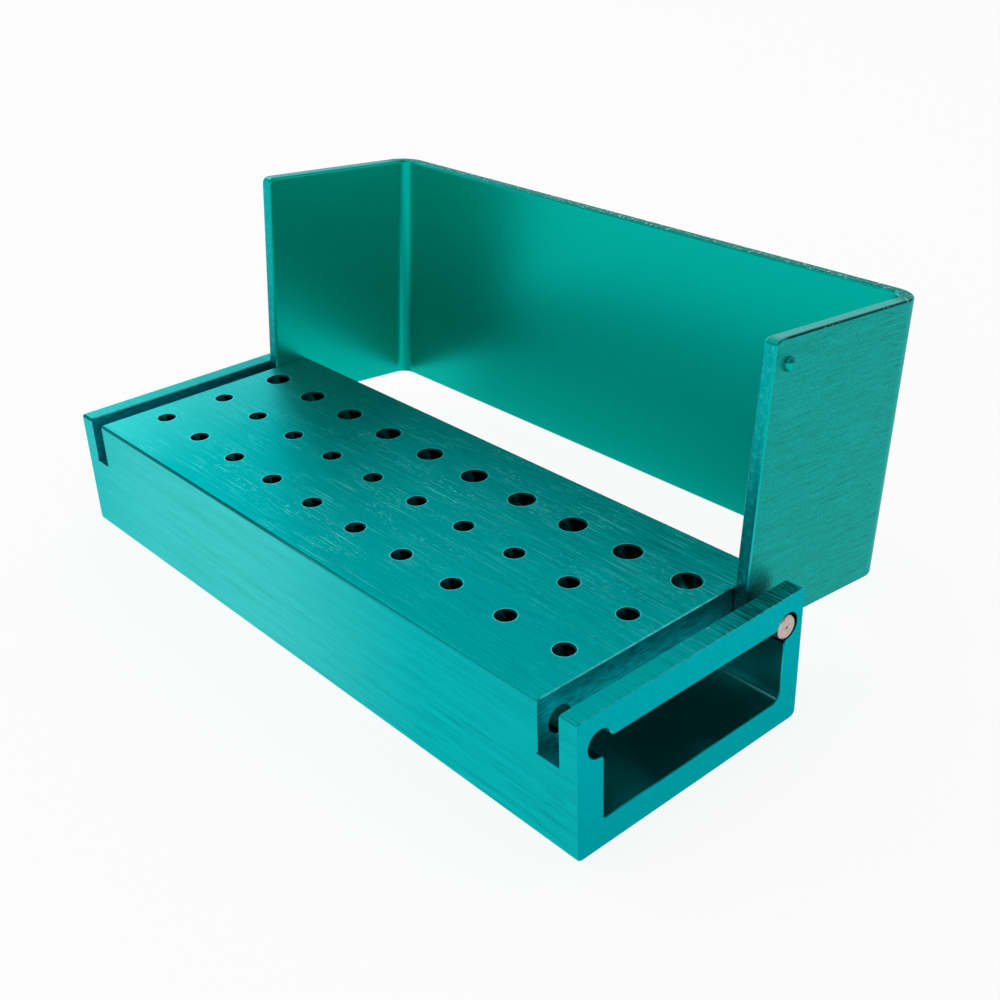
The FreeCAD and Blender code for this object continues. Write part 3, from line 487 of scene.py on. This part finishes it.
def bent_sheet_finish():
    """Anodised aluminium sheet: satin inside, brushed and slightly crazed outside, dull where it was sheared; its
    outside's darker colour and the lines and glints along its edges are painted shade and light.
    """
    finish, tree, place, spot, facing = new_finish("anodised_brushed_sheet")
    zone = sheet_zones(tree, spot, facing)
    upright = add(tree, "VectorRotate", {"Vector": place, "Axis": (1.0, 0.0, 0.0), "Angle": LEAN})

    # The strip's brush lines run round the bends, so they change only up the lid. They are a little wavy, and too
    # fine for the picture, so they are drawn 0.16 mm wide.
    lines = add(tree, "TexNoise", {
        "Vector": add(tree, "VectorMath", {0: upright, 1: (1 / 5, 1 / 5, 1 / 0.16)}, operation="MULTIPLY"),
        "Scale": 1.0, "Detail": 3.0, "Roughness": 0.7, "Distortion": 0.5})
    line_shade = add(tree, "MapRange", {"Value": lines, "From Min": 0.3, "From Max": 0.7,
                                        "To Min": 0.8, "To Max": 1.2})
    # The oxide over them has a fine grain, too fine for the picture and so drawn 0.25 mm across.
    grain = add(tree, "TexNoise", {"Vector": place, "Scale": 1 / 0.25, "Detail": 2.0, "Roughness": 0.6})
    grain_shade = add(tree, "MapRange", {"Value": grain, "From Min": 0.3, "From Max": 0.7,
                                         "To Min": 0.86, "To Max": 1.14})
    # Bending crazed the oxide outside: dark cracks along the lines, 2.5 mm long and drawn 0.1 mm wide, more of
    # them near the bends.
    cracks = add(tree, "TexNoise", {
        "Vector": add(tree, "VectorMath", {0: upright, 1: (1 / 2.5, 1 / 2.5, 1 / 0.1)}, operation="MULTIPLY"),
        "Scale": 1.0, "Detail": 1.0, "Distortion": 0.7})
    crack = add(tree, "MapRange", {"Value": cracks, "From Min": 0.34, "From Max": 0.27})
    near_bend = add(tree, "MapRange", {"Value": spot[1], "From Min": CHEEK_MIDDLE - 6, "From Max": lid_high.y,
                                       "To Min": 0.35, "To Max": 1.0})
    cracked = add(tree, "Math", {0: crack, 1: near_bend}, operation="MULTIPLY")
    crack_shade = add(tree, "MapRange", {"Value": cracked, "To Min": 1.0, "To Max": 0.35})
    outer_shade = add(tree, "Math", {0: line_shade, 1: crack_shade}, operation="MULTIPLY")
    outer_shade = add(tree, "Math", {0: outer_shade, 1: grain_shade}, operation="MULTIPLY")
    shade = add(tree, "Mix", {0: zone.outer_face, 2: 1.0, 3: outer_shade}, data_type="FLOAT")

    # The shear left streaks along the free edges, 9 mm long and 0.3 mm wide, and painted shade darkens them low
    # down, near the block.
    shear = add(tree, "TexNoise", {
        "Vector": add(tree, "VectorMath", {0: upright, 1: (1 / 0.3, 1 / 0.3, 1 / 9)}, operation="MULTIPLY"),
        "Scale": 1.0, "Detail": 2.0})
    shear_shade = add(tree, "MapRange", {"Value": shear, "From Min": 0.3, "From Max": 0.7,
                                         "To Min": 0.82, "To Max": 1.12})
    painted_shade_low = add(tree, "MapRange", {"Value": spot[2], "From Min": DECK, "From Max": lid_high.z - 6,
                                       "To Min": 0.55, "To Max": 1.05})
    shear_shade = add(tree, "Math", {0: shear_shade, 1: painted_shade_low}, operation="MULTIPLY")
    shade = add(tree, "Mix", {0: zone.free_edge, 2: shade, 3: shear_shade}, data_type="FLOAT")
    # The panel's top is darker, in flecks 0.45 mm across, with painted glints in it.
    flecks = add(tree, "TexNoise", {"Vector": place, "Scale": 2.2, "Detail": 2.0, "Roughness": 0.7})
    fleck_shade = add(tree, "MapRange", {"Value": flecks, "From Min": 0.35, "From Max": 0.7,
                                        "To Min": 0.3, "To Max": 0.8})
    shade = add(tree, "Mix", {0: zone.panel_top, 2: shade, 3: fleck_shade}, data_type="FLOAT")
    painted_glints = add(tree, "MapRange", {"Value": flecks, "From Min": 0.58, "From Max": 0.66})
    painted_glints = add(tree, "Math", {0: painted_glints, 1: zone.panel_top}, operation="MULTIPLY")
    # Painted glints: light flecks on the free edges.
    edge_glints = add(tree, "MapRange", {"Value": flecks, "From Min": 0.5, "From Max": 0.66, "To Max": 0.5})
    edge_glints = add(tree, "Math", {0: edge_glints, 1: zone.free_edge}, operation="MULTIPLY")
    # Painted shadow: the line under the burr along the cheeks' tops is dark, broken by painted glints.
    shade = add(tree, "Mix", {0: zone.burr_shadow_line, 2: shade, 3: 0.12}, data_type="FLOAT")
    burr_glints = add(tree, "MapRange", {"Value": flecks, "From Min": 0.66, "From Max": 0.7})
    burr_glints = add(tree, "Math", {0: zone.burr_shadow_line, 1: burr_glints}, operation="MULTIPLY")
    painted_glints = add(tree, "Math", {0: painted_glints, 1: burr_glints}, operation="MAXIMUM")

    dye_and_painted_light = linear("#00B8AA")
    # Painted shade: the cheeks' outsides are darker and greyer. Painted highlight: the free edges' outer rims low
    # down.
    for mask, tint in (
            (zone.outer_face, "#14A098"),
            (zone.free_edge, "#00A8A9"),
            (zone.cheek_top, "#63BFB8"),
            (zone.free_edge_highlight, "#22BECB")):
        dye_and_painted_light = add(tree, "Mix", {0: mask, 6: dye_and_painted_light, 7: linear(tint)}, data_type="RGBA")
    colour = add(tree, "VectorMath", {0: dye_and_painted_light, "Scale": shade}, operation="SCALE")
    # Painted glints on the free edges, the panel's top and the burr.
    for mask, tint in ((edge_glints, "#35C4C0"), (painted_glints, "#A9E6E0")):
        colour = add(tree, "Mix", {0: mask, 6: colour, 7: linear(tint)}, data_type="RGBA")

    # Satin inside, rougher outside, dull on top. Brush lines stand 0.012 mm high, the grain three times that.
    roughness = add(tree, "Mix", {0: zone.outer_face, 2: 0.3, 3: 0.39}, data_type="FLOAT")
    roughness = add(tree, "Mix", {0: zone.top_edge, 2: roughness, 3: 0.45}, data_type="FLOAT")
    height = add(tree, "Math", {0: crack, 1: -0.6, 2: lines}, operation="MULTIPLY_ADD")
    height = add(tree, "Math", {0: grain, 1: 3.0, 2: height}, operation="MULTIPLY_ADD")
    height = add(tree, "Math", {0: height, 1: zone.outer_face}, operation="MULTIPLY")
    relief = add(tree, "Bump", {"Strength": 1.0, "Distance": 0.012 * MM, "Height": height})
    surface = add(tree, "BsdfPrincipled", {"Base Color": colour, "Metallic": 1.0, "Roughness": roughness,
                                           "Specular Tint": linear("#CEFFFF"), "Normal": relief})
    add(tree, "OutputMaterial", {"Surface": surface})
    return finish


# ---------------------------------------------------------------- turned steel pins

def hinge_pin_finish():
    """Bare steel pin, cut to length and faced on a lathe: dull, blotched, with faint rings on its end."""
    finish, tree, place, _, _ = new_finish("turned_steel_pin")
    from_axis = add(tree, "VectorMath", {0: place, 1: (0.0, PIN_Y, PIN_Z)}, operation="SUBTRACT")
    flat = add(tree, "VectorMath", {0: from_axis, 1: (0.0, 1.0, 1.0)}, operation="MULTIPLY")
    radius = add(tree, "VectorMath", {0: flat}, operation="LENGTH").outputs["Value"]
    turns = add(tree, "Math", {0: radius, 1: 2 * math.pi / TURNED_RING}, operation="MULTIPLY")
    rings = add(tree, "Math", {0: turns}, operation="SINE")
    ring_shade = add(tree, "MapRange", {"Value": rings, "From Min": -1.0, "To Min": 0.93, "To Max": 1.05})
    # Handling left blotches 0.4 mm across.
    blotches = add(tree, "TexNoise", {"Vector": place, "Scale": 2.4, "Detail": 3.0, "Roughness": 0.6})
    blotch_shade = add(tree, "MapRange", {"Value": blotches, "From Min": 0.35, "From Max": 0.65,
                                          "To Min": 0.82, "To Max": 1.08})
    shade = add(tree, "Math", {0: ring_shade, 1: blotch_shade}, operation="MULTIPLY")
    steel = add(tree, "VectorMath", {0: linear("#CDBDB7")[:3], "Scale": shade}, operation="SCALE")
    surface = add(tree, "BsdfPrincipled", {"Base Color": steel, "Metallic": 1.0, "Roughness": 0.42})
    add(tree, "OutputMaterial", {"Surface": surface})
    return finish


finishes = {
    "base_block": extruded_block_finish(),
    "lid": bent_sheet_finish(),
    "hinge_pin_right": hinge_pin_finish(),
}
finishes["hinge_pin_left"] = finishes["hinge_pin_right"]
for name, finish in finishes.items():
    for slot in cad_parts[name].material_slots:
        slot.material = finish

# ---------------------------------------------------------------- studio

FLOOR_RADIUS = 3.0
FLOOR_SIDES = 96
FLOOR_GAP = 0.05 * MM
PAPER_GLOW = 0.82
BLEACH = 1.09
SWEEP_TOP = math.sin(math.radians(21))
ROOM_FROM = math.sin(math.radians(31))

# The floor lies a hair under the block, so that the two faces don't flicker.
angles = [2 * math.pi * i / FLOOR_SIDES for i in range(FLOOR_SIDES)]
rim = [(FLOOR_RADIUS * math.cos(angle), FLOOR_RADIUS * math.sin(angle), -FLOOR_GAP) for angle in angles]
floor_mesh = bpy.data.meshes.new("floor")
floor_mesh.from_pydata(rim, [], [tuple(range(FLOOR_SIDES))])
floor = bpy.data.objects.new("floor", floor_mesh)
bpy.context.collection.objects.link(floor)

# White paper glows by itself to the camera and in reflections, and otherwise takes the object's shadow.
paper = bpy.data.materials.new("white_paper")
paper.use_nodes = True
tree = paper.node_tree
tree.nodes.clear()
path = add(tree, "LightPath", {})
seen = add(tree, "Math", {0: path.outputs["Is Camera Ray"], 1: path.outputs["Is Glossy Ray"]}, operation="MAXIMUM")
seen = add(tree, "Math", {0: seen, 1: path.outputs["Is Transmission Ray"]}, operation="MAXIMUM")
glow = add(tree, "Math", {0: seen, 1: PAPER_GLOW}, operation="MULTIPLY")
# It is bleached to the camera, so that only the faint shadow tells it from the background.
bleach = add(tree, "MapRange", {"Value": path.outputs["Is Camera Ray"], "To Min": 1.0, "To Max": BLEACH})
white = add(tree, "Emission", {"Color": linear("#FDFDFD"), "Strength": bleach})
shaded = add(tree, "BsdfDiffuse", {"Color": linear("#F4F4F4")})
add(tree, "OutputMaterial", {"Surface": add(tree, "MixShader", {0: glow, 1: shaded, 2: white})})
floor_mesh.materials.append(paper)

world = bpy.data.worlds.new("studio")
bpy.context.scene.world = world
world.use_nodes = True
tree = world.node_tree
tree.nodes.clear()
towards = add(tree, "TexCoord", {}).outputs["Generated"]
direction = add(tree, "SeparateXYZ", {0: towards})
# Above the sweep the room is dim: a pale wall behind and to the left, a dark one in front and to the right.
to_wall = add(tree, "VectorMath", {0: towards, 1: (-0.5, 0.87, 0.0)}, operation="DOT_PRODUCT").outputs["Value"]
room = add(tree, "MapRange", {"Value": to_wall, "From Min": 0.0, "From Max": 0.45, "To Min": 0.2, "To Max": 0.55},
           interpolation_type="SMOOTHSTEP")
# White sweep round the object up to 21 degrees, fading into the room by 31.
sweep = add(tree, "MapRange", {"Value": direction.outputs["Z"], "From Min": SWEEP_TOP, "From Max": ROOM_FROM,
                               "To Min": 1.0, "To Max": room}, interpolation_type="SMOOTHSTEP")
to_camera = add(tree, "LightPath", {}).outputs["Is Camera Ray"]
strength = add(tree, "Mix", {0: to_camera, 2: sweep, 3: 1.0}, data_type="FLOAT")
background = add(tree, "Background", {"Color": linear("#FDFDFD"), "Strength": strength})
add(tree, "OutputWorld", {"Surface": background})


def softbox(name, place, size, radiance):
    """A square soft lamp turned to the object: its place and size in metres, and how bright its face is."""
    lamp = bpy.data.lights.new(name, "AREA")
    lamp.size = size
    lamp.energy = radiance * math.pi * size ** 2
    holder = bpy.data.objects.new(name, lamp)
    bpy.context.collection.objects.link(holder)
    holder.location = place
    holder.rotation_mode = "QUATERNION"
    holder.rotation_quaternion = (-Vector(place)).to_track_quat("-Z", "Y")


softbox("softbox_above", (-0.15, -0.25, 0.75), size=0.5, radiance=1.3)
softbox("softbox_left", (-0.75, 0.15, 0.45), size=0.4, radiance=1.0)

# ---------------------------------------------------------------- camera, fitted to the photograph

# What a fit to the block's corners and the middles of its holes gave.
CAMERA_PLACE = Vector((103.357, -74.706, 80.947)) * MM
AZIMUTH = math.radians(49.165)
ELEVATION = math.radians(28.275)
ROLL = math.radians(-2.11)
SENSOR = 36.0
FOCAL_PIXELS = 1361.26
PICTURE_WIDTH = 1000

back = Vector((math.sin(AZIMUTH) * math.cos(ELEVATION),
               -math.cos(AZIMUTH) * math.cos(ELEVATION),
               math.sin(ELEVATION)))
level_right = Vector((math.cos(AZIMUTH), math.sin(AZIMUTH), 0.0))
level_up = back.cross(level_right)
right = math.cos(ROLL) * level_right + math.sin(ROLL) * level_up
up = back.cross(right)
camera_data = bpy.data.cameras.new("camera")
camera_data.sensor_width = SENSOR
camera_data.lens = FOCAL_PIXELS * SENSOR / PICTURE_WIDTH
camera_data.clip_start = 5 * MM
camera = bpy.data.objects.new("camera", camera_data)
bpy.context.collection.objects.link(camera)
camera.matrix_world = Matrix.Translation(CAMERA_PLACE) @ Matrix((right, up, back)).transposed().to_4x4()
bpy.context.scene.camera = camera

bpy.context.scene.view_settings.view_transform = "Standard"
